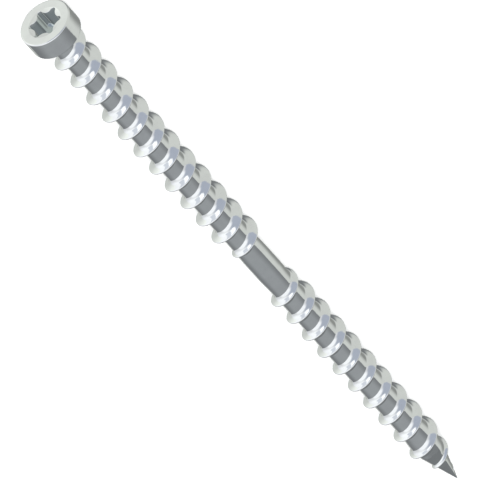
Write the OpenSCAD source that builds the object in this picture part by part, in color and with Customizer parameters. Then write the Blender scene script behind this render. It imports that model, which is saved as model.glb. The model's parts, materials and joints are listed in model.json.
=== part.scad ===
// Structural timber screw, formed in one piece: a flat-faced cylinder head with
// a six-lobe drive recess, a coarse right-hand thread under the head, a bare
// stretch of shank, and a second, slightly smaller thread that runs to the point.
// Sizes are in millimetres. Stations are measured along the screw's axis from
// the drive face, and the screw lies as it comes to rest, its point along +X.

/* [Overall] */
// Length from the drive face to the point
length = 150; // [120:1:190]
// Pitch of both threads
pitch = 5.63; // [4.2:0.01:7]

/* [Head] */
// Diameter of the cylinder head
head_d = 10.4; // [8.6:0.1:13]
// Height of the cylinder head
head_h = 4.3; // [3.5:0.1:6]
// Chamfer around the drive face
head_chamfer = 0.25; // [0.1:0.05:0.5]
// Radius under the head, where it meets the shank
neck_r = 0.4; // [0.2:0.05:0.8]

/* [Drive recess] */
// Width of the six-lobe recess across opposite lobes
recess_lobes_d = 6.75; // [5.6:0.05:7.2]
// Width of the recess across opposite flutes
recess_flutes_d = 4.85; // [4.2:0.05:5.2]
// Radius of each lobe's rounded end
recess_lobe_r = 0.55; // [0.4:0.01:0.62]
// Height left between the end of the recess's walls and the foot of the head
recess_floor = 0.5; // [0.3:0.1:1]
// Slope of the dished floor, from the plane across the axis
recess_dish = 18; // [5:1:25]
// Slope of the countersink that leads the bit in
recess_lead = 24; // [15:1:40]
// Angle of one lobe around the axis
recess_turn = 2; // [0:1:60]

/* [Shank] */
// Core diameter between the thread turns
core_d = 5; // [4.2:0.05:6]
// How much wider the bare shank is than the core
bare_gain = 0.3; // [0.1:0.05:0.6]
// Length of the bare shank between the threads
bare_length = 10.2; // [8:0.1:14]
// Length of each cone between the core and a thicker stretch
core_ease = 1; // [0.5:0.1:2]

/* [Threads] */
// Outside diameter of the thread under the head
head_thread_d = 8.2; // [6.8:0.1:9.8]
// Outside diameter of the thread at the point
tip_thread_d = 7.7; // [6.5:0.1:9.2]
// Length of the head thread, from the head to where it sinks into the shank
head_thread_length = 68.7; // [50:0.1:84]
// Width of the flat along the crest
crest_width = 0.36; // [0.2:0.02:0.6]
// Angle between a flank and the plane across the axis
flank_angle = 21; // [15:1:28]
// Distance over which a thread rises from the shank or sinks into it
thread_fade = 4; // [2.5:0.1:6]
// Angle around the axis at which the head thread leaves the head
head_thread_turn = 141; // [0:1:359]
// Angle around the axis at which the tip thread starts
tip_thread_turn = 227; // [0:1:359]
// Flat facets in one turn of a thread
turn_facets = 27; // [20:1:32]

/* [Point] */
// Distance from the point over which the crests taper
crest_taper = 12.1; // [10:0.1:16]
// How full the crest taper is, with 1 as a straight cone
crest_fullness = 1.17; // [1:0.01:1.4]
// Distance from the point over which the core tapers as a cone
core_taper = 9.9; // [8:0.1:12]
// How much wider the swelling behind the point is than the core
swell_gain = 0.64; // [0.1:0.02:0.8]
// Distance from the point at which that swelling starts
swell_start = 16.2; // [15:0.1:20]
// How much wider the core still is where its cone starts
cone_gain = 0.2; // [0:0.02:0.6]
// Radius of the rounded point
point_r = 0.12; // [0.08:0.01:0.3]
// Distance from the point at which the thread ends
thread_stop = 1.6; // [1.2:0.1:3]

/* [Hidden] */
$fn = 96;
steel = [0.72, 0.74, 0.75];

head_r = head_d / 2;
core_r = core_d / 2;
bare_r = core_r + bare_gain / 2;
swell_r = core_r + swell_gain / 2;
cone_r = core_r + cone_gain / 2;
head_crest_r = head_thread_d / 2;
tip_crest_r = tip_thread_d / 2;

// the recess's walls end at one station, and its dished floor comes to a point further in
recess_r = recess_lobes_d / 2;
recess_wall_end = head_h - recess_floor;
recess_dish_depth = recess_r * tan(recess_dish);

// stations where the threads end and start, and where the point takes over
bare_from = head_h + head_thread_length;
bare_to = bare_from + bare_length;
swell_from = length - swell_start;
cone_from = length - core_taper;
taper_from = length - crest_taper;
thread_to = length - thread_stop;

// shares of the core radius at which a thread's foot and its sunk ends lie buried
foot_depth = 0.88;
sunk_depth = 0.94;
// length by which one solid runs into the next, and a cut past a face
overlap = 1;
// how far the lead-in's edges stay inside the lobes' ends and the flutes
lead_clearance = 0.05;

// [station, radius] of the core, from under the head to the point
core_profile = [
    [head_h, core_r],
    [bare_from - core_ease, core_r],
    [bare_from, bare_r],
    [bare_to, bare_r],
    [bare_to + core_ease, core_r],
    [swell_from, core_r],
    [swell_from + core_ease, swell_r],
    [swell_from + 2 * core_ease, swell_r],
    [cone_from, cone_r],
    [length - point_r, point_r],
];

function core_radius(station) = lookup(station, core_profile);

// 0 at a thread's end, rising to 1 once it is thread_fade away from it
function fade(distance) = 1 - pow(1 - min(1, max(0, distance) / thread_fade), 2);

// 1 behind the tapered point, falling to 0 at its very end
function taper(station) =
    1 - pow(max(0, station - taper_from) / crest_taper, crest_fullness);

// crest radius between buried in the core (rise 0) and the thread's full height
function raised(station, full, rise) =
    let (sunk = sunk_depth * core_radius(station))
    sunk + max(0, full - sunk) * rise;

function head_crest(station) = raised(station, head_crest_r, fade(bare_from - station));

function tip_crest(station) =
    raised(
        station,
        tip_crest_r * taper(station),
        fade(station - bare_to) * fade(thread_to - station)
    );

function around(radius, angle, station) =
    [radius * cos(angle), radius * sin(angle), station];

// the four corners of a thread ridge, cut along the axis at one station
function ridge_corners(station, crest, full, angle) =
    let (
        half_crest = crest_width / 2 * min(1, crest / full),
        foot = foot_depth * core_radius(station),
        half_foot = half_crest + (crest - foot) * tan(flank_angle),
        foot_before = foot_depth * core_radius(station - half_foot),
        foot_after = foot_depth * core_radius(station + half_foot)
    )
    [
        around(foot_before, angle, station - half_foot),
        around(crest, angle, station - half_crest),
        around(crest, angle, station + half_crest),
        around(foot_after, angle, station + half_foot),
    ];

// ridge swept along a right-hand helix, from its list of corner rings
module ridge(rings) {
    corners = 4;
    last = len(rings) - 1;
    polyhedron(
        points = [for (ring = rings) each ring],
        faces = [
            [for (c = [corners - 1:-1:0]) c],
            for (i = [0:last - 1])
                for (c = [0:corners - 1])
                    let (d = (c + 1) % corners, here = corners * i, next = here + corners)
                    each [
                        [here + c, here + d, next + d],
                        [here + c, next + d, next + c],
                    ],
            [for (c = [0:corners - 1]) corners * last + c],
        ]
    );
}

module head_thread() {
    from = head_h - overlap;
    steps = ceil(turn_facets * (bare_from - from) / pitch);
    ridge([
        for (i = [0:steps])
            let (station = from + (bare_from - from) * i / steps)
            ridge_corners(
                station,
                head_crest(station),
                head_crest_r,
                head_thread_turn + 360 * (station - head_h) / pitch
            )
    ]);
}

module tip_thread() {
    steps = ceil(turn_facets * (thread_to - bare_to) / pitch);
    ridge([
        for (i = [0:steps])
            let (station = bare_to + (thread_to - bare_to) * i / steps)
            ridge_corners(
                station,
                tip_crest(station),
                tip_crest_r,
                tip_thread_turn + 360 * (station - bare_to) / pitch
            )
    ]);
}

// half section of the head, core, bare shank and point
module body_outline() {
    polygon([
        [0, 0],
        [head_r - head_chamfer, 0],
        [head_r, head_chamfer],
        [head_r, head_h],
        for (step = core_profile) [step[1], step[0]],
        [0, length],
    ]);
}

// half section of the metal that rounds the corner under the head
module neck_outline() {
    difference() {
        translate([0, head_h - neck_r])
            square([core_r + neck_r, 2 * neck_r]);
        translate([core_r + neck_r, head_h + neck_r])
            circle(r = neck_r);
    }
}

module body() {
    rotate_extrude() {
        body_outline();
        neck_outline();
    }
}

// outline of the recess: six round lobes joined by six inward-curving flutes
module six_lobe_outline() {
    lobes = 6;
    // angle from a lobe to the flute beside it
    step = 180 / lobes;
    lobe_ring = recess_r - recess_lobe_r;
    inner_r = recess_flutes_d / 2;
    // radius with which each flute meets both neighbouring lobes smoothly
    flute_r = (
        pow(lobe_ring, 2) + pow(inner_r, 2) - 2 * lobe_ring * inner_r * cos(step)
        - pow(recess_lobe_r, 2)
    ) / (2 * (recess_lobe_r + lobe_ring * cos(step) - inner_r));
    flute_ring = inner_r + flute_r;
    difference() {
        polygon([
            for (i = [0:2 * lobes - 1])
                (i % 2 == 0 ? lobe_ring : flute_ring) * [cos(step * i), sin(step * i)]
        ]);
        for (i = [0:lobes - 1])
            rotate(step * (2 * i + 1))
                translate([flute_ring, 0])
                    circle(r = flute_r);
    }
    for (i = [0:lobes - 1])
        rotate(step * 2 * i)
            translate([lobe_ring, 0])
                circle(r = recess_lobe_r);
}

// half section of the dished floor and of the space above it, wider than the recess
module recess_depth_outline() {
    polygon([
        [0, -overlap],
        [2 * recess_r, -overlap],
        [2 * recess_r, recess_wall_end - recess_dish_depth],
        [0, recess_wall_end + recess_dish_depth],
    ]);
}

// countersink from just inside the lobes' ends down past the flutes
module recess_lead_in() {
    mouth_r = recess_r - lead_clearance;
    end_r = recess_flutes_d / 2 - lead_clearance;
    depth = (mouth_r - end_r) * tan(recess_lead);
    above = overlap * tan(recess_lead);
    translate([0, 0, -above])
        cylinder(h = depth + above, r1 = mouth_r + overlap, r2 = end_r);
}

module recess() {
    intersection() {
        rotate(recess_turn)
            translate([0, 0, -overlap])
                linear_extrude(height = recess_wall_end + recess_dish_depth + 2 * overlap)
                    six_lobe_outline();
        rotate_extrude()
            recess_depth_outline();
    }
    recess_lead_in();
}

// the screw about its own axis: drive face at station 0, point along +Z
module upright_screw() {
    difference() {
        union() {
            body();
            head_thread();
            tip_thread();
        }
        recess();
    }
}

// angle around the axis of the side that the screw lies on
lying_angle = 270;

// stations at which a thread's crest is on that side
function lying_crests(from, to, turn) = [
    for (n = [0:ceil((to - from) / pitch)])
        let (station = from + pitch * (n + (lying_angle - turn) / 360))
        if (station > from && station < to) station
];

// dip of the axis that brings one crest down to the level of the head's rear edge
function dip(station, crest) = atan((head_r - crest) / (station - head_h));

// the screw rests on that edge and on the first crest that comes down
rest_tilt = min([
    for (station = lying_crests(head_h, bare_from, head_thread_turn))
        dip(station, head_crest(station)),
    for (station = lying_crests(bare_to, length, tip_thread_turn))
        dip(station, tip_crest(station)),
]);
axis_height = head_h * sin(rest_tilt) + head_r * cos(rest_tilt);
face_x = (head_r * sin(rest_tilt) - length * cos(rest_tilt)) / 2;

module screw() {
    color(steel)
        translate([face_x, 0, axis_height])
            rotate([0, rest_tilt, 0])
                rotate([90, 0, 90])
                    upright_screw();
}

screw();
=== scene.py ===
"""Looks of a long structural timber screw, lying on a pale studio floor.

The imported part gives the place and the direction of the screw's axis. The whole
screw is one closed surface about that axis. Sizes are in millimetres and angles
in degrees until a point is placed, and stations are measured along the axis
from the drive face towards the point.
"""

import json
import logging
import math
from dataclasses import dataclass
from enum import Enum
from typing import Any

import bpy
import numpy as np
from mathutils import Matrix, Vector


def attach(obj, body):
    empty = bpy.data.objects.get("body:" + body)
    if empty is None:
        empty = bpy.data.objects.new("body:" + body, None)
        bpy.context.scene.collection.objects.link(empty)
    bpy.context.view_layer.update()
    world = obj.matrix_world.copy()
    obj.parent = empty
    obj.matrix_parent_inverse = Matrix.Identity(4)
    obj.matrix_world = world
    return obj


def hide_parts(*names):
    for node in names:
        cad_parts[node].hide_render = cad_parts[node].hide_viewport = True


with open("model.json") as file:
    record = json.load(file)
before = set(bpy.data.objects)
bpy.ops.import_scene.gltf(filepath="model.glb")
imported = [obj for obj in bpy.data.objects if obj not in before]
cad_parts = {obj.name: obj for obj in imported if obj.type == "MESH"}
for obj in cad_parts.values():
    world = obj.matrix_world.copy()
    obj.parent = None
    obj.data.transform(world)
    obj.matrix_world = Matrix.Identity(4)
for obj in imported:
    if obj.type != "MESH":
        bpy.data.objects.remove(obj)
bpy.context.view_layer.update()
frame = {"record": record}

MM = 0.001
WELD_STEPS = 1e8  # steps per metre, within which points count as the same
TOUCH = 0.001  # slack in millimetres for a point that lies on an outline

log = logging.getLogger("screw")

Array = np.ndarray
Colour = tuple[float, float, float]


@dataclass(frozen=True)
class ScrewAxis:
    """The screw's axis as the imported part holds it, with two directions across it."""

    origin: Array
    along: Array
    side: Array
    above: Array

    @classmethod
    def from_record(cls, record: dict[str, Any]) -> "ScrewAxis":
        """Reads the axis from the mount in the drive recess, which faces out of the head.

        Args:
            record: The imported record.

        Returns:
            The axis, with its side direction level and its third direction above the screw.
        """
        mount = next(m for m in record["mounts"] if m["name"] == "drive_recess")
        along = -np.array(mount["axis"], dtype=float)
        along /= np.linalg.norm(along)
        side = np.array([0.0, 1.0, 0.0])
        return cls(np.array(mount["pos_m"]), along, side, np.cross(along, side))

    def around(self, angle: float) -> Array:
        """The direction across the axis at an angle from the level side."""
        turn = math.radians(angle)
        return math.cos(turn) * self.side + math.sin(turn) * self.above

    def place(self, radius: Array, angle: Array, station: Array) -> Array:
        """Turns screw coordinates into points of the shared frame.

        The point is the origin, plus the station along the axis, plus the radius
        times the cosine of the angle to the side and its sine upwards.

        Args:
            radius: Distances from the axis in millimetres.
            angle: Angles about the axis in degrees, of the same shape.
            station: Distances from the drive face in millimetres, of the same shape.

        Returns:
            The points in metres, with one more dimension of three at the end.
        """
        turn = np.radians(angle)[..., None]
        out = np.asarray(radius)[..., None] * MM
        on_axis = self.origin + self.along * (np.asarray(station)[..., None] * MM)
        return on_axis + out * (np.cos(turn) * self.side + np.sin(turn) * self.above)


@dataclass
class Patch:
    """Part of a surface: points, triangles that face outwards, and wear marks at each point."""

    points: Array
    faces: Array
    marks: Array


class Mark(Enum):
    """What the plating shows at a point, kept as attributes of the mesh. The recess mark is painted
    shade.
    """

    CREST = "crest"
    ROOT = "root"
    # Painted shade: how far down the drive recess a point lies, which darkens its colour.
    RECESS = "recess"


def grid_faces(rows: int, columns: int) -> Array:
    """Splits each cell of a grid of points into two triangles.

    Point (i, j) is number i * columns + j, and each cell is cut from its point
    (i, j) to its point (i + 1, j + 1), wound so that the triangles face out when
    rows run along the screw and columns turn about it.

    Args:
        rows: Number of rows of points.
        columns: Number of points in a row.

    Returns:
        The triangles as rows of three point numbers.
    """
    i, j = np.meshgrid(np.arange(rows - 1), np.arange(columns - 1), indexing="ij")
    here = (i * columns + j).ravel()
    after, beyond = here + 1, here + columns
    return np.concatenate(
        [np.stack([here, after, beyond + 1], 1), np.stack([here, beyond + 1, beyond], 1)]
    )


def two_to_one_faces(fine: int, coarse: int) -> Array:
    """Joins a ring of 2n + 1 points to a ring of n + 1 points that follows it in the list.

    Points 2j and 2j + 1 of the fine ring meet point j of the coarse one, and
    point 2j + 1 then meets points j and j + 1 of the coarse ring.

    Args:
        fine: Number of points in the first ring, its first point repeated at its end.
        coarse: Number of points in the second ring, repeated in the same way.

    Returns:
        The triangles as rows of three point numbers.
    """
    j = np.arange(coarse - 1)
    even, odd, inner = 2 * j, 2 * j + 1, fine + j
    return np.concatenate(
        [
            np.stack([even, odd, inner], 1),
            np.stack([odd, inner + 1, inner], 1),
            np.stack([odd, odd + 1, inner + 1], 1),
        ]
    )


def weld(patches: list[Patch]) -> Patch:
    """Joins patches into one closed surface.

    Points that agree to a hundredth of a micron become one, and triangles that
    have lost a corner by it are dropped.

    Args:
        patches: The patches, whose rims hold the same points.

    Returns:
        One patch with every point once.
    """
    starts = np.cumsum([0] + [len(p.points) for p in patches])
    points = np.concatenate([p.points for p in patches])
    marks = np.concatenate([p.marks for p in patches])
    faces = np.concatenate([p.faces + s for p, s in zip(patches, starts)])
    keys = np.round(points * WELD_STEPS).astype(np.int64)
    _, first, number = np.unique(keys, axis=0, return_index=True, return_inverse=True)
    faces = number.reshape(-1)[faces]
    whole = (
        (faces[:, 0] != faces[:, 1])
        & (faces[:, 1] != faces[:, 2])
        & (faces[:, 2] != faces[:, 0])
    )
    return Patch(points[first], faces[whole], marks[first])


@dataclass(frozen=True)
class Core:
    """The shank without its threads: core, bare stretch, swelling and pointed end."""

    head_h: float = 4.3
    neck_r: float = 0.4
    core_r: float = 2.5
    bare_r: float = 2.65
    swell_r: float = 2.82
    cone_r: float = 2.6
    bare_from: float = 73.0
    bare_to: float = 83.2
    ease: float = 3.0
    swell_from: float = 134.8
    cone_from: float = 140.1
    length: float = 150.0
    point_r: float = 0.12

    def past(self, station: Array, place: float) -> Array:
        """0 before a place and 1 after it, with a smooth step of ease to either side."""
        share = np.clip((station - place) / (2 * self.ease) + 0.5, 0, 1)
        return share**2 * (3 - 2 * share)

    def radius(self, station: Array) -> Array:
        """Radius of the core at each station.

        It is core_r, with a smooth step up to bare_r at the bare stretch and
        down again behind it, and one up to swell_r before the point. From
        there it runs straight to the cone's start and on to the point. Under
        the head a quarter circle of neck_r is added, which starts level with
        the underside and meets the core without a corner.

        Args:
            station: Stations in millimetres.

        Returns:
            The radii in millimetres.
        """
        bare = self.past(station, self.bare_from) - self.past(station, self.bare_to)
        swollen = self.past(station, self.swell_from)
        shank = self.core_r + (self.bare_r - self.core_r) * bare
        end = np.interp(
            station,
            [self.swell_from + self.ease, self.cone_from, self.length - self.point_r],
            [self.swell_r, self.cone_r, self.point_r],
        )
        left = np.clip(self.head_h + self.neck_r - station, 0, self.neck_r)
        neck = self.neck_r - np.sqrt(self.neck_r**2 - left**2)
        return shank + (end - shank) * swollen + neck


@dataclass(frozen=True)
class Thread:
    """A coarse right-hand thread: where it runs and how its ridge is shaped.

    Its crest line is at the angle turn where the thread starts. Ridges taller
    than marked_from are worn to worn_depth under their crest, and dull within
    dull_width of a line that lies the share dull_reach along the arc's reach.
    The steps count those between mesh rows over half of the crest, down a
    flank, along the arc at its foot and over the core to the middle between
    two turns.
    """

    core: Core
    starts: float
    ends: float
    turn: float
    crest_r: float
    rises: bool
    sinks_over: float = 4.0
    taper_from: float = math.inf
    crest_taper: float = 12.1
    crest_fullness: float = 1.17
    pitch: float = 5.63
    crest_width: float = 0.28
    flank_angle: float = 21.0
    crest_round: float = 0.04
    crest_bow_r: float = 0.2
    rear_root_r: float = 1.05
    front_root_r: float = 1.5
    root_limit: float = 1.2
    sunk: float = 0.94
    marked_from: float = 0.2
    worn_depth: float = 0.25
    dull_reach: float = 0.2
    dull_width: float = 0.5
    crest_steps: int = 4
    flank_steps: int = 3
    root_steps: int = 11
    core_steps: int = 3

    def fade(self, distance: Array) -> Array:
        """0 at a thread's end, rising as a parabola to 1 once sinks_over away from it."""
        return 1 - (1 - np.clip(distance / self.sinks_over, 0, 1)) ** 2

    def crest(self, station: Array) -> Array:
        """Radius of the crest where the ridge's middle is at a station.

        The full radius is tapered near the point: it loses the share (distance
        into the taper / crest_taper) to the power crest_fullness. What stands
        over the sunk radius is then faded at the ends where the ridge sinks in.

        Args:
            station: Stations of the ridge's middle in millimetres.

        Returns:
            The radii in millimetres, 0 where this thread isn't.
        """
        into = np.maximum(0, station - self.taper_from) / self.crest_taper
        full = self.crest_r * (1 - into**self.crest_fullness)
        sunk = self.sunk * self.core.radius(station)
        rise = self.fade(self.ends - station)
        if self.rises:
            rise = rise * self.fade(station - self.starts)
        there = station <= self.ends
        if self.rises:
            there &= station >= self.starts
        return np.where(there, sunk + np.maximum(0, full - sunk) * rise, 0)

    def off_crest(self, angle: Array, station: Array) -> Array:
        """Distance along the axis from the nearest turn of the crest line, signed.

        The crest line is at starts plus the pitch times the turned angle over
        360, and the remainder after whole pitches is taken between minus and
        plus half a pitch.

        Args:
            angle: Angles about the axis in degrees.
            station: Stations in millimetres, of the same shape.

        Returns:
            The signed distances in millimetres.
        """
        line = self.starts + self.pitch * (angle - self.turn) / 360
        half = self.pitch / 2
        return np.mod(station - line + half, self.pitch) - half

    def half_width(self, crest: Array) -> Array:
        """Half of the crest's width, less where the crest is lower than crest_r."""
        return self.crest_width / 2 * np.minimum(1, crest / self.crest_r)

    def root(self, off: Array, crest: Array, core: Array) -> tuple[Array, Array, Array]:
        """The arc at the foot of the ridge.

        Flank and core would meet at a corner. The arc touches both, at the
        same reach from that corner, which is its radius times the tangent of
        half the bend. It is rounder on the ridge's side towards the point. Where
        the ridge is low, it is held to root_limit times the ridge's height.

        Args:
            off: Signed distances from the crest line in millimetres.
            crest: Radii of the crest in millimetres, of the same shape.
            core: Radii of the core in millimetres, of the same shape.

        Returns:
            Distance of the corner from the crest line, radius of the arc, and
            its reach.
        """
        half = self.half_width(crest)
        edge = crest - half**2 / (2 * self.crest_bow_r)
        tall = np.maximum(edge - core, 0)
        wanted = np.where(off > 0, self.front_root_r, self.rear_root_r)
        arc = np.minimum(wanted, self.root_limit * tall)
        corner = half + tall * math.tan(math.radians(self.flank_angle))
        return corner, arc, arc * math.tan(math.radians(90 - self.flank_angle) / 2)

    def surface(self, angle: Array, station: Array) -> tuple[Array, Array]:
        """Radius and marks of the threaded shank.

        The crest is a low arc of crest_bow_r, taken as a parabola. Each flank is
        a straight line that falls from the crest's edge at the flank angle. The
        corner between them is eased by taking the lower of the two less a
        parabola where they are within crest_round. The root's arc follows.

        Args:
            angle: Angles about the axis in degrees.
            station: Stations in millimetres, of the same shape.

        Returns:
            The radii in millimetres, and the marks with a last dimension of three.
        """
        off = self.off_crest(angle, station)
        crest, core = self.crest(station - off), self.core.radius(station)
        half = self.half_width(crest)
        steep = math.tan(math.radians(self.flank_angle))
        flank = crest - half**2 / (2 * self.crest_bow_r) - (np.abs(off) - half) / steep
        top = crest - off**2 / (2 * self.crest_bow_r)
        near = np.clip(1 - np.abs(flank - top) / self.crest_round, 0, 1)
        ridge = np.minimum(top, flank) - near**2 * self.crest_round / 4

        corner, arc, reach = self.root(off, crest, core)
        past = np.abs(off) - corner
        on_flank = reach * math.sin(math.radians(self.flank_angle))
        on_arc = (past > -on_flank) & (past < reach) & (arc > 0)
        drop = np.sqrt(np.maximum(arc**2 - (reach - past) ** 2, 0))
        radius = np.where(on_arc, core + arc - drop, np.maximum(core, ridge))

        stands = crest - core > self.marked_from
        worn = np.clip(1 - (crest - radius) / self.worn_depth, 0, 1) * stands
        from_foot = np.abs(past - self.dull_reach * reach)
        dull_and_painted_shade = np.clip(1 - from_foot / self.dull_width, 0, 1) * stands
        return radius, np.stack([worn, dull_and_painted_shade, np.zeros_like(worn)], -1)

    def side_rows(self, sign: int) -> Array:
        """Distances of the rows on one side: over the crest, down the flank, the arc and the core."""
        corner, _, reach = self.root(
            np.array(sign), np.array(self.crest_r), np.array(self.core.core_r)
        )
        edge = self.crest_width / 2 + self.crest_round
        foot = corner - reach * math.sin(math.radians(self.flank_angle))
        return np.concatenate(
            [
                np.linspace(0, edge, self.crest_steps + 1)[1:],
                np.linspace(edge, foot, self.flank_steps + 1)[1:],
                np.linspace(foot, corner + reach, self.root_steps + 1)[1:],
                np.linspace(corner + reach, self.pitch / 2, self.core_steps + 1)[1:-1],
            ]
        )

    def rows(self) -> Array:
        """Signed distances of one turn's mesh rows from its crest line."""
        rear, front = self.side_rows(-1), self.side_rows(1)
        return np.concatenate([[-self.pitch / 2], -rear[::-1], [0], front])


@dataclass(frozen=True)
class Shank:
    """Everything behind the head, as grids that follow the threads' turns."""

    core: Core
    head_thread: Thread
    tip_thread: Thread
    meets: float = 78.1
    columns: int = 72
    neck_rings: int = 8
    point_rings: int = 6

    def angles(self) -> Array:
        """The angles of a ring's points, its first one repeated at its end."""
        return np.linspace(0, 360, self.columns + 1)

    def ring(self, thread: Thread, station: float) -> tuple[Array, Array, Array]:
        """Radius, angle and station of one plane ring of the shank."""
        angle = self.angles()
        flat = np.full_like(angle, station)
        return thread.surface(angle, flat)[0], angle, flat

    def threaded(self, axis: ScrewAxis, thread: Thread, start: float, end: float) -> Patch:
        """A grid whose rows follow the thread's turns, between two plane rings.

        Row stations lie at fixed distances from the crest line, close together
        on the ridge and at its root, plus the pitch times the angle over 360.
        They are held between start and end, so the grid's rims are plane.

        Args:
            axis: The screw's axis.
            thread: The thread that the rows follow.
            start: Station of the first ring.
            end: Station of the last ring.

        Returns:
            The patch. Its seam holds the same points on both sides.
        """
        pitch = thread.pitch
        first = math.floor((start - thread.starts) / pitch) - 1
        last = math.ceil((end - thread.starts) / pitch) + 2
        rows = (np.arange(first, last)[:, None] * pitch + thread.rows()).ravel()
        angle = np.broadcast_to(self.angles(), (len(rows), self.columns + 1))
        line = thread.starts + pitch * (angle - thread.turn) / 360
        station = np.clip(rows[:, None] + line, start, end)
        radius, marks = thread.surface(angle, station)
        return Patch(
            axis.place(radius, angle, station).reshape(-1, 3),
            grid_faces(len(rows), self.columns + 1),
            marks.reshape(-1, 3),
        )

    def neck(self, axis: ScrewAxis) -> Patch:
        """Plane rings down the quarter circle under the head, at even steps of its arc."""
        step = np.radians(np.linspace(0, 90, self.neck_rings))
        core = self.core
        stations = core.head_h + core.neck_r * (1 - np.cos(step))
        angle, station = np.meshgrid(self.angles(), stations)
        radius, marks = self.head_thread.surface(angle, station)
        return Patch(
            axis.place(radius, angle, station).reshape(-1, 3),
            grid_faces(len(stations), self.columns + 1),
            marks.reshape(-1, 3),
        )

    def point(self, axis: ScrewAxis) -> Patch:
        """The rounded point: a quarter circle of point_r, turned about the axis."""
        core = self.core
        step = np.radians(np.linspace(0, 90, self.point_rings))
        angle, arc = np.meshgrid(self.angles(), step)
        station = core.length - core.point_r * (1 - np.sin(arc))
        radius = core.point_r * np.cos(arc)
        radius[-1] = 0
        marks = np.zeros(angle.shape + (3,))
        marks[..., 0] = 1
        return Patch(
            axis.place(radius, angle, station).reshape(-1, 3),
            grid_faces(len(step), self.columns + 1),
            marks.reshape(-1, 3),
        )

    def patches(self, axis: ScrewAxis) -> list[Patch]:
        """All the patches behind the head, in order along the screw."""
        core = self.core
        return [
            self.neck(axis),
            self.threaded(axis, self.head_thread, core.head_h + core.neck_r, self.meets),
            self.threaded(axis, self.tip_thread, self.meets, core.length - core.point_r),
            self.point(axis),
        ]


@dataclass(frozen=True)
class Recess:
    """The six-lobe drive recess: its outline, its lead-in and its dished floor."""

    lobes: int = 6
    lobes_r: float = 3.375
    flutes_r: float = 2.425
    lobe_r: float = 0.55
    lead_r: float = 3.325
    lead_slope: float = 8.0
    wall_end: float = 3.8
    dish_slope: float = 18.0
    floor_fillet: float = 0.12
    turn: float = 2.0
    samples: int = 1201

    def outline(self, columns: int) -> tuple[Array, Array]:
        """Radius and angle of points spaced evenly along the recess's outline.

        Within a lobe the radius is the far cut of the ray with the lobe's
        circle. Between lobes it is the near cut with the flute's circle, whose
        radius lets it touch both lobes. The running length of that curve is
        then divided into equal steps.

        Args:
            columns: Number of steps round the outline, a multiple of the lobes.

        Returns:
            The radii in millimetres and the angles in degrees, the first point
            repeated a full turn later at the end.
        """
        sector = 360 / self.lobes
        ring, step = self.lobes_r - self.lobe_r, math.radians(sector / 2)
        flute = (
            ring**2 + self.flutes_r**2 - 2 * ring * self.flutes_r * math.cos(step)
            - self.lobe_r**2
        ) / (2 * (self.lobe_r + ring * math.cos(step) - self.flutes_r))
        far = self.flutes_r + flute
        touch = math.atan2(
            self.lobe_r * far * math.sin(step),
            flute * ring + self.lobe_r * far * math.cos(step),
        )
        turn = np.linspace(0, sector, self.samples)
        bend = np.abs(np.mod(np.radians(turn) + step, 2 * step) - step)
        lobe = ring * np.cos(bend) + np.sqrt(
            np.maximum(self.lobe_r**2 - (ring * np.sin(bend)) ** 2, 0)
        )
        rest = step - bend
        hollow = far * np.cos(rest) - np.sqrt(
            np.maximum(flute**2 - (far * np.sin(rest)) ** 2, 0)
        )
        radius = np.where(bend < touch, lobe, hollow)
        x, y = radius * np.cos(np.radians(turn)), radius * np.sin(np.radians(turn))
        run = np.concatenate([[0], np.cumsum(np.hypot(np.diff(x), np.diff(y)))])
        each = columns // self.lobes
        even = np.interp(np.linspace(0, run[-1], each + 1), run, turn)
        one = np.interp(even, turn, radius)
        angles = np.concatenate([even[:-1] + sector * k for k in range(self.lobes)] + [[360.0]])
        return np.concatenate([np.tile(one[:-1], self.lobes), one[:1]]), angles + self.turn

    def floor_at(self, radius: Array) -> Array:
        """Station of the dished floor, which is deeper towards the axis."""
        slope = math.tan(math.radians(self.dish_slope))
        return self.wall_end + (self.lobes_r - radius) * slope


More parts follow.
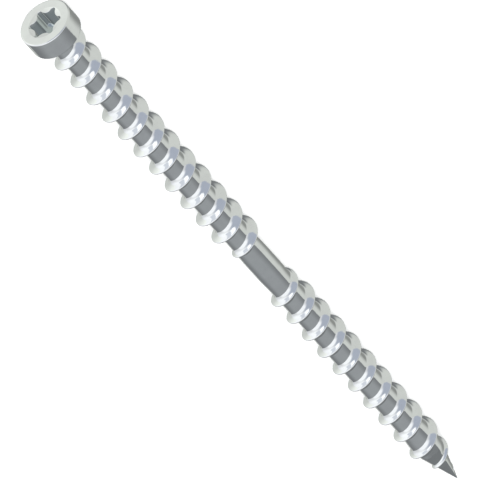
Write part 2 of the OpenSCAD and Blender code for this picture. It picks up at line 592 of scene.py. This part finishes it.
@dataclass(frozen=True)
class Head:
    """The cylinder head with its drive recess, from the recess's floor to its underside.

    Rows with shares lie at those parts of the way over the floor, down the
    wall, over the lead-in, over the face and over the underside. The other
    rows are numbers of even steps over a rounded edge or the head's side. The
    lead-in's rows are set off by the share edge_sunk of edge_r, which eases
    the recess's mouth.
    """

    recess: Recess
    radius: float = 5.2
    height: float = Core.head_h
    rim_r: float = 0.25
    rear_r: float = 0.08
    edge_r: float = 0.06
    edge_sunk: float = 0.3
    recess_shade_from: float = 0.1
    recess_shade_over: float = 0.4
    worn_inside: float = 0.1
    worn_over: float = 0.2
    columns: int = 144
    floor_rows: tuple[float, ...] = (0, 0.15, 0.35, 0.55, 0.75, 0.9)
    wall_rows: tuple[float, ...] = (0.25, 0.5, 0.75, 0.93, 1.0)
    lead_rows: tuple[float, ...] = (0.0, 0.08, 0.5, 0.92)
    face_rows: tuple[float, ...] = (0.06, 0.3, 0.6, 0.85, 1.0)
    under_rows: tuple[float, ...] = (0.0, 0.25, 0.5, 0.75, 0.93)
    fillet_rows: int = 5
    fillet_from: float = 10.0
    rim_rows: int = 8
    side_rows: int = 13
    rear_rows: int = 4

    def sections(self) -> tuple[Array, Array, Array]:
        """The head's surface, row by row from the recess's floor out and back.

        The rows are the floor from the middle out, its rounded edge, the wall,
        the lead-in where the wall comes inside its cone, the eased mouth, the
        face, a quarter circle at the rim, the head's side and a small quarter
        circle at its rear edge. Angles start evenly spaced along the recess's
        outline and are evenly spaced about the axis from the rim on.

        Returns:
            Radius, angle and station of each point, with rows along the section.
        """
        recess = self.recess
        outline, bent = recess.outline(self.columns)
        even = np.linspace(0, 360, self.columns + 1) + recess.turn
        rows: list[tuple[Array, Array, Array]] = []

        def add(radius: Array, angle: Array, station: Array) -> None:
            """Keeps one row, with single numbers spread over its columns."""
            rows.append(tuple(np.broadcast_to(v, bent.shape) for v in (radius, angle, station)))

        floor_end = recess.floor_at(outline)
        for share in self.floor_rows:
            add(outline * share, bent, recess.floor_at(outline * share))
        fillet = recess.floor_fillet
        for step in np.radians(np.linspace(self.fillet_from, 90, self.fillet_rows)):
            inward = fillet * (1 - math.sin(step))
            add(outline - inward, bent, floor_end - fillet * (1 - math.cos(step)))
        slope = math.tan(math.radians(recess.lead_slope))
        lead = np.maximum(recess.lead_r - outline, 0) * slope
        wall_foot, wall_top = floor_end - fillet, lead + self.edge_r
        for share in self.wall_rows:
            add(outline, bent, wall_foot + (wall_top - wall_foot) * share)
        mouth = np.maximum(outline, recess.lead_r)
        eased = self.edge_r * self.edge_sunk
        for share in self.lead_rows:
            add(outline + (mouth - outline) * share + eased, bent, lead * (1 - share) + eased)
        add(mouth + self.edge_r, bent, 0)
        flat_r = self.radius - self.rim_r
        for share in self.face_rows:
            add(
                mouth + self.edge_r + (flat_r - mouth - self.edge_r) * share,
                bent + (even - bent) * share,
                0,
            )
        for step in np.radians(np.linspace(90 / self.rim_rows, 90, self.rim_rows)):
            add(flat_r + self.rim_r * math.sin(step), even, self.rim_r * (1 - math.cos(step)))
        side = np.linspace(self.rim_r, self.height - self.rear_r, self.side_rows + 1)
        for station in side[1:]:
            add(self.radius, even, station)
        for step in np.radians(np.linspace(90 / self.rear_rows, 90, self.rear_rows)):
            add(
                self.radius - self.rear_r * (1 - math.cos(step)),
                even,
                self.height - self.rear_r * (1 - math.sin(step)),
            )
        radius, angle, station = (np.stack([r[k] for r in rows]) for k in range(3))
        return radius, angle, station

    def marks_at(self, radius: Array, station: Array) -> Array:
        """Marks of the head: worn at its edges, and painted shade down in the recess."""
        inside = radius < self.recess.lobes_r + TOUCH
        # Painted shade: grows from the recess's mouth down into it.
        deep = np.clip((station - self.recess_shade_from) / self.recess_shade_over, 0, 1)
        from_rim = np.abs(radius - self.radius + self.worn_inside)
        rim = np.clip(1 - from_rim / self.worn_over, 0, 1)
        worn = rim * np.clip(1 - (station - self.rim_r) / self.worn_over, 0, 1)
        return np.stack([worn, np.zeros_like(worn), np.where(inside, deep, 0)], -1)

    def patches(self, axis: ScrewAxis, shank: Shank) -> list[Patch]:
        """The head's grid and the underside that joins it to the shank's first ring.

        The underside runs in straight lines from the rear edge towards the
        shank's first ring, and its last step has half as many points.

        Args:
            axis: The screw's axis.
            shank: The shank, whose first ring the underside meets.

        Returns:
            The patches of the head.
        """
        radius, angle, station = self.sections()
        whole = Patch(
            axis.place(radius, angle, station).reshape(-1, 3),
            grid_faces(len(radius), self.columns + 1),
            self.marks_at(radius, station).reshape(-1, 3),
        )
        inner_r, inner_angle, inner_station = shank.ring(shank.head_thread, self.height)
        target = np.interp(angle[-1] % 360.0, inner_angle, inner_r)
        shares = np.array(self.under_rows)[:, None]
        under_r = radius[-1] + (target - radius[-1]) * shares
        under_angle = np.broadcast_to(angle[-1], under_r.shape)
        under_station = np.full_like(under_r, self.height)
        under = Patch(
            axis.place(under_r, under_angle, under_station).reshape(-1, 3),
            grid_faces(len(under_r), self.columns + 1),
            np.zeros((under_r.size, 3)),
        )
        rim = axis.place(under_r[-1], under_angle[-1], under_station[-1])
        first = axis.place(inner_r, inner_angle, inner_station)
        joint = Patch(
            np.concatenate([rim, first]),
            two_to_one_faces(self.columns + 1, shank.columns + 1),
            np.zeros((len(rim) + len(first), 3)),
        )
        return [whole, under, joint]


class NodeGraph:
    """Short names for building one material's or world's nodes."""

    def __init__(self, tree: bpy.types.NodeTree) -> None:
        """Starts with an empty tree."""
        self.tree = tree
        tree.nodes.clear()

    def add(self, kind: str, **inputs: Any) -> bpy.types.Node:
        """Adds a node and sets its sockets.

        Args:
            kind: The node's type name.
            inputs: Values or output sockets, by socket name with _ for spaces.

        Returns:
            The node.
        """
        node = self.tree.nodes.new(kind)
        for name, value in inputs.items():
            self.feed(node, name.replace("_", " "), value)
        return node

    def feed(self, node: bpy.types.Node, name: str | int, value: Any) -> None:
        """Links an output socket to a node's input, or sets the input's value."""
        socket = node.inputs[name]
        if isinstance(value, bpy.types.NodeSocket):
            self.tree.links.new(value, socket)
        else:
            socket.default_value = value

    def noise(self, where: Any, scale: float, detail: float) -> Any:
        """Noise of a scale in turns per metre, as the output of its factor."""
        node = self.add("ShaderNodeTexNoise", Vector=where, Scale=scale, Detail=detail)
        return node.outputs["Factor" if "Factor" in node.outputs else "Fac"]

    def remap(self, value: Any, low: float, high: float, to_low: float, to_high: float) -> Any:
        """Maps a range of a value to another, held at its ends."""
        node = self.add("ShaderNodeMapRange", Value=value)
        for name, number in zip(
            ("From Min", "From Max", "To Min", "To Max"), (low, high, to_low, to_high)
        ):
            node.inputs[name].default_value = number
        return node.outputs["Result"]

    def fall(self, value: Any, low: float, high: float) -> Any:
        """1 up to a low value and 0 from a high one, with a smooth step between."""
        share = self.remap(value, low, high, 1.0, 0.0)
        share.node.interpolation_type = "SMOOTHSTEP"
        return share

    def apart(self, way: Any, other: tuple[float, float, float]) -> Any:
        """Angle in radians between a direction and a fixed one."""
        node = self.tree.nodes.new("ShaderNodeVectorMath")
        node.operation = "DOT_PRODUCT"
        self.feed(node, 0, way)
        self.feed(node, 1, other)
        return self.maths("ARCCOSINE", node.outputs["Value"], 0.0)

    def maths(self, operation: str, one: Any, other: Any) -> Any:
        """The result of a sum on two values."""
        node = self.tree.nodes.new("ShaderNodeMath")
        node.operation = operation
        self.feed(node, 0, one)
        self.feed(node, 1, other)
        return node.outputs[0]

    def blend(self, share: Any, one: Any, other: Any) -> Any:
        """A colour between two colours."""
        node = self.tree.nodes.new("ShaderNodeMix")
        node.data_type = "RGBA"
        self.feed(node, 0, share)
        self.feed(node, 6, one)
        self.feed(node, 7, other)
        return node.outputs[2]

    def mark(self, mark: Mark) -> Any:
        """The mesh's own number for one kind of mark."""
        node = self.tree.nodes.new("ShaderNodeAttribute")
        node.attribute_name = mark.value
        return node.outputs["Fac"]


@dataclass(frozen=True)
class BrightZinc:
    """Bright zinc plating: clear blue-white metal, a little clouded and wavy.

    Clouds, waves and grain are noise scales in turns per metre. Clouds change
    the colour and the roughness, waves the slope, and grain the roughness and
    the slope, with depths in metres. Painted shade darkens the recess.
    """

    name: str = "bright_zinc"
    bright: Colour = (0.72, 0.74, 0.75)
    clouded: Colour = (0.69, 0.705, 0.72)
    worn: Colour = (0.74, 0.755, 0.765)
    # Painted shade: the darker colour laid down in the drive recess.
    dull_and_painted_shade: Colour = (0.42, 0.47, 0.48)
    grazing: Colour = (0.85, 0.86, 0.87)
    wear: float = 0.6
    roughness: float = 0.03
    cloud_roughness: float = 0.02
    grain_roughness: tuple[float, float] = (-0.01, 0.02)
    root_roughness: float = 0.03
    recess_roughness: float = 0.1
    clouds: float = 420.0
    cloud_detail: float = 3.0
    cloud_range: tuple[float, float] = (0.4, 0.65)
    waves: float = 260.0
    wave_detail: float = 1.5
    wave_depth: float = 0.0004
    wave_strength: float = 0.12
    grain: float = 5200.0
    grain_detail: float = 2.0
    grain_range: tuple[float, float] = (0.3, 0.7)
    grain_depth: float = 0.00002
    grain_strength: float = 0.2

    def build(self) -> bpy.types.Material:
        """Makes the material, all of it read from object coordinates and marks."""
        material = bpy.data.materials.new(self.name)
        material.use_nodes = True
        graph = NodeGraph(material.node_tree)
        where = graph.add("ShaderNodeTexCoord").outputs["Object"]
        cloud = graph.noise(where, self.clouds, self.cloud_detail)
        cloud = graph.remap(cloud, *self.cloud_range, 0, 1)
        grain = graph.noise(where, self.grain, self.grain_detail)
        wave = graph.noise(where, self.waves, self.wave_detail)
        crest, root = graph.mark(Mark.CREST), graph.mark(Mark.ROOT)
        recess = graph.mark(Mark.RECESS)

        colour = graph.blend(cloud, (*self.bright, 1), (*self.clouded, 1))
        # Painted shade: the recess mark darkens the colour down in the drive recess.
        colour = graph.blend(recess, colour, (*self.dull_and_painted_shade, 1))
        worn = graph.maths("MULTIPLY", crest, self.wear)
        colour = graph.blend(worn, colour, (*self.worn, 1))

        rough = graph.remap(cloud, 0, 1, self.roughness, self.roughness + self.cloud_roughness)
        for more in (
            graph.remap(grain, *self.grain_range, *self.grain_roughness),
            graph.maths("MULTIPLY", root, self.root_roughness),
            graph.maths("MULTIPLY", recess, self.recess_roughness),
        ):
            rough = graph.maths("ADD", rough, more)

        soft = graph.add(
            "ShaderNodeBump", Height=wave, Distance=self.wave_depth, Strength=self.wave_strength
        )
        fine = graph.add(
            "ShaderNodeBump", Height=grain, Distance=self.grain_depth,
            Strength=self.grain_strength, Normal=soft.outputs["Normal"],
        )
        shader = graph.add(
            "ShaderNodeBsdfPrincipled",
            Base_Color=colour,
            Metallic=1.0,
            Roughness=rough,
            Specular_Tint=(*self.grazing, 1),
            Normal=fine.outputs["Normal"],
        )
        graph.add("ShaderNodeOutputMaterial", Surface=shader.outputs[0])
        return material


@dataclass(frozen=True)
class FloorPaint:
    """Matt white paint."""

    name: str = "floor_paint"
    colour: Colour = (0.87, 0.87, 0.86)
    roughness: float = 0.9

    def build(self) -> bpy.types.Material:
        """Makes the material."""
        material = bpy.data.materials.new(self.name)
        material.use_nodes = True
        graph = NodeGraph(material.node_tree)
        shader = graph.add(
            "ShaderNodeBsdfPrincipled", Base_Color=(*self.colour, 1), Roughness=self.roughness
        )
        graph.add("ShaderNodeOutputMaterial", Surface=shader.outputs[0])
        return material


@dataclass(frozen=True)
class TimberScrew:
    """The whole screw, formed in one piece."""

    core: Core = Core()
    name: str = "zinc_plated_screw"
    bare_tip: float = 1.6
    sharp_from: float = 38.0

    def shank(self) -> Shank:
        """The shank with its two threads, of which the second ends bare_tip before the point."""
        core = self.core
        under_head = Thread(
            core, starts=core.head_h, ends=core.bare_from, turn=141, crest_r=4.1, rises=False
        )
        to_point = Thread(
            core, starts=core.bare_to, ends=core.length - self.bare_tip, turn=227,
            crest_r=3.85, rises=True, taper_from=137.9,
        )
        return Shank(core, under_head, to_point)

    def build(self, axis: ScrewAxis, finish: BrightZinc) -> bpy.types.Object:
        """Welds the head and shank into one closed mesh and dresses it.

        Args:
            axis: The screw's axis.
            finish: The plating.

        Returns:
            The finished object, which rides on the part and stands for its solid.
        """
        shank = self.shank()
        head = Head(Recess())
        skin = weld(head.patches(axis, shank) + shank.patches(axis))
        mesh = bpy.data.meshes.new(self.name)
        mesh.from_pydata(skin.points, [], skin.faces)
        mesh.polygons.foreach_set("use_smooth", np.ones(len(mesh.polygons), dtype=bool))
        for number, mark in enumerate(Mark):
            layer = mesh.attributes.new(mark.value, "FLOAT", "POINT")
            layer.data.foreach_set("value", skin.marks[:, number].astype(np.float32))
        mesh.set_sharp_from_angle(angle=math.radians(self.sharp_from))
        mesh.validate()
        mesh.update()
        mesh.materials.append(finish.build())
        screw = bpy.data.objects.new(self.name, mesh)
        bpy.context.scene.collection.objects.link(screw)
        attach(screw, "root")
        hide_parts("screw")
        screw.visible_glossy = False
        log.info("%s: %d points, %d triangles", self.name, len(skin.points), len(skin.faces))
        return screw


@dataclass(frozen=True)
class Floor:
    """A plain pale floor under the screw."""

    half_width: float = 6.0
    name: str = "studio_floor"

    def build(self, finish: FloorPaint) -> bpy.types.Object:
        """Makes one flat square at height 0."""
        w = self.half_width
        mesh = bpy.data.meshes.new(self.name)
        mesh.from_pydata([(-w, -w, 0), (w, -w, 0), (w, w, 0), (-w, w, 0)], [], [(0, 1, 2, 3)])
        mesh.materials.append(finish.build())
        floor = bpy.data.objects.new(self.name, mesh)
        bpy.context.scene.collection.objects.link(floor)
        floor.visible_glossy = False
        log.info("%s: %.1f m wide", self.name, 2 * w)
        return floor


@dataclass(frozen=True)
class SoftBox:
    """A square soft light that points at the screw and lights the floor under it."""

    name: str
    azimuth: float
    elevation: float
    distance: float
    size: tuple[float, float]
    watts: float

    def build(self) -> bpy.types.Object:
        """Makes the light. Azimuth 0 is along +X and 90 along +Y."""
        data = bpy.data.lights.new(self.name, "AREA")
        data.shape = "RECTANGLE"
        data.size, data.size_y = self.size
        data.energy = self.watts
        lamp = bpy.data.objects.new(self.name, data)
        way = Vector(direction(self.azimuth, self.elevation))
        lamp.location = way * self.distance
        lamp.rotation_mode = "QUATERNION"
        lamp.rotation_quaternion = way.to_track_quat("Z", "Y")
        lamp.visible_glossy = False
        bpy.context.scene.collection.objects.link(lamp)
        log.info("%s: %.0f W", self.name, self.watts)
        return lamp


def direction(azimuth: float, elevation: float) -> tuple[float, float, float]:
    """The way to a point of the room, with azimuth 0 along +X and 90 along +Y."""
    turn, rise = math.radians(azimuth), math.radians(elevation)
    level = math.cos(rise)
    return level * math.cos(turn), level * math.sin(turn), math.sin(rise)


class Tint(Enum):
    """Colours of the studio's surfaces, for a brightness of 1."""

    WHITE = (0.99, 1.0, 1.01)
    SLATE = (0.96, 1.0, 1.02)
    STONE = (0.98, 1.0, 0.94)
    MIST = (0.96, 1.0, 1.08)
    LAVENDER = (0.93, 1.0, 1.16)

    def at(self, brightness: float) -> tuple[float, float, float, float]:
        """The tint's colour at a brightness."""
        red, green, blue = (brightness * share for share in self.value)
        return red, green, blue, 1.0


@dataclass(frozen=True)
class Panel:
    """A round soft-edged surface of the studio, as seen from the screw.

    Its colour is full within inner degrees of its middle, and fades over the
    next edge degrees into what lies behind it. Other panels may lie on it.
    """

    azimuth: float
    elevation: float
    inner: float
    edge: float
    brightness: float
    tint: Tint = Tint.WHITE
    on_it: tuple["Panel", ...] = ()

    def paint(self, graph: NodeGraph, way: Any, behind: Any) -> Any:
        """Lays the panel, with those on it, over what lies behind.

        Args:
            graph: The world's nodes.
            way: The direction that is looked in.
            behind: The colour behind the panel.

        Returns:
            The colour with the panel laid over it.
        """
        own: Any = self.tint.at(self.brightness)
        for panel in self.on_it:
            own = panel.paint(graph, way, own)
        inner, edge = math.radians(self.inner), math.radians(self.edge)
        apart = graph.apart(way, direction(self.azimuth, self.elevation))
        return graph.blend(graph.fall(apart, inner, inner + edge), behind, own)


@dataclass(frozen=True)
class Studio:
    """A pale tent round the screw, which its bright plating mirrors.

    A white wall with a window in it stands to the left of the camera's
    picture, a cool wall behind the camera, and a grey card past the point,
    which is lit from above and dark in its middle. The ground is stone
    coloured, bright below the window, shaded below the card and darkest in
    one corner.
    """

    backdrop: float = 1.0
    back: float = 0.9
    white_wall: Panel = Panel(azimuth=-125, elevation=5, inner=5, edge=50, brightness=1.35)
    cool_wall: Panel = Panel(
        azimuth=155, elevation=5, inner=35, edge=35, brightness=0.58, tint=Tint.LAVENDER
    )
    ceiling: Panel = Panel(azimuth=0, elevation=90, inner=30, edge=30, brightness=1.3)
    window: Panel = Panel(azimuth=-155, elevation=5, inner=7, edge=2, brightness=1.45)
    window_frame: Panel = Panel(
        azimuth=-140, elevation=5, inner=7, edge=3, brightness=0.9, tint=Tint.MIST
    )
    card_glow: Panel = Panel(
        azimuth=0, elevation=50, inner=25, edge=40, brightness=0.42, tint=Tint.SLATE
    )
    card_middle: Panel = Panel(
        azimuth=0, elevation=0, inner=35, edge=8, brightness=0.25, tint=Tint.SLATE
    )
    card: Panel = Panel(
        azimuth=0, elevation=5, inner=58, edge=4, brightness=0.28, tint=Tint.SLATE,
        on_it=(card_glow, card_middle),
    )
    lit_ground: Panel = Panel(
        azimuth=-130, elevation=-15, inner=0, edge=45, brightness=1.35, tint=Tint.STONE
    )
    ground_shade: Panel = Panel(
        azimuth=-5, elevation=-40, inner=20, edge=30, brightness=0.38, tint=Tint.STONE
    )
    dark_corner: Panel = Panel(
        azimuth=165, elevation=-70, inner=8, edge=22, brightness=0.25, tint=Tint.SLATE
    )
    ground: Panel = Panel(
        azimuth=95, elevation=-80, inner=82, edge=3, brightness=0.83, tint=Tint.STONE,
        on_it=(lit_ground, ground_shade, dark_corner),
    )
    floor_box: SoftBox = SoftBox(
        name="floor_box", azimuth=145, elevation=40, distance=1.2, size=(0.45, 0.45), watts=20.0
    )

    def panels(self) -> list[Panel]:
        """The studio's surfaces, each in front of those before it."""
        return [
            self.white_wall, self.cool_wall, self.ceiling,
            self.window, self.window_frame, self.card, self.ground,
        ]

    def build(self) -> None:
        """Paints the walls and the ground, and adds the light for the floor.

        The camera itself sees a plain white backdrop past the floor's edge.
        """
        world = bpy.data.worlds.new("studio_room")
        bpy.context.scene.world = world
        world.use_nodes = True
        graph = NodeGraph(world.node_tree)
        way = graph.add("ShaderNodeTexCoord").outputs["Generated"]
        colour: Any = Tint.WHITE.at(self.back)
        for panel in self.panels():
            colour = panel.paint(graph, way, colour)
        seen = graph.add("ShaderNodeLightPath").outputs["Is Camera Ray"]
        colour = graph.blend(seen, colour, Tint.WHITE.at(self.backdrop))
        light = graph.add("ShaderNodeBackground", Color=colour, Strength=1.0)
        graph.add("ShaderNodeOutputWorld", Surface=light.outputs[0])
        self.floor_box.build()


@dataclass(frozen=True)
class PhotoCamera:
    """A long lens that sees the screw as the photograph does.

    It stands about as far off as the other views allow. It stands distance
    metres off, and sees from sees_from to sees_to metres.
    """

    to_axis: float = 49.18
    roll: float = 47.83
    seen_side: float = 56.0
    frame_width: float = 88.585
    middle_station: float = 75.0
    middle_x: float = -2.474
    middle_y: float = 2.381
    distance: float = 4.0
    sensor: float = 18.0
    sees_from: float = 0.1
    sees_to: float = 16.0

    def build(self, axis: ScrewAxis) -> bpy.types.Object:
        """Makes the camera from the view's angle to the axis and its turn in the frame.

        The way back to the camera lies between the head's end of the axis and
        the side of the screw that is seen. The frame's directions are that
        view's across directions, turned by the roll.

        Args:
            axis: The screw's axis.

        Returns:
            The camera, also set as the scene's.
        """
        tilt, roll = math.radians(self.to_axis), math.radians(self.roll)
        seen, lower = axis.around(self.seen_side), axis.around(self.seen_side + 90)
        back = -math.cos(tilt) * axis.along + math.sin(tilt) * seen
        down_screw = math.sin(tilt) * axis.along + math.cos(tilt) * seen
        right = math.cos(roll) * down_screw - math.sin(roll) * lower
        up = -math.sin(roll) * down_screw - math.cos(roll) * lower
        middle = axis.origin + axis.along * self.middle_station * MM
        middle = middle + (right * self.middle_x + up * self.middle_y) * MM
        data = bpy.data.cameras.new("photo_camera")
        data.sensor_width = self.sensor
        data.lens = self.sensor * self.distance / (self.frame_width * MM)
        data.clip_start, data.clip_end = self.sees_from, self.sees_to
        camera = bpy.data.objects.new("photo_camera", data)
        turned = Matrix(np.stack([right, up, back], 1).tolist()).to_4x4()
        turned.translation = Vector(middle + back * self.distance)
        camera.matrix_world = turned
        bpy.context.scene.collection.objects.link(camera)
        bpy.context.scene.camera = camera
        log.info("camera: lens %.0f mm", data.lens)
        return camera


def main() -> None:
    """Builds the camera, the screw and the studio."""
    logging.basicConfig(level=logging.INFO, format="%(name)s %(message)s")
    axis = ScrewAxis.from_record(frame["record"])
    PhotoCamera().build(axis)
    TimberScrew().build(axis, BrightZinc())
    Floor().build(FloorPaint())
    Studio().build()
    scene = bpy.context.scene
    scene.view_settings.view_transform = "Standard"


if __name__ == "__main__":
    main()
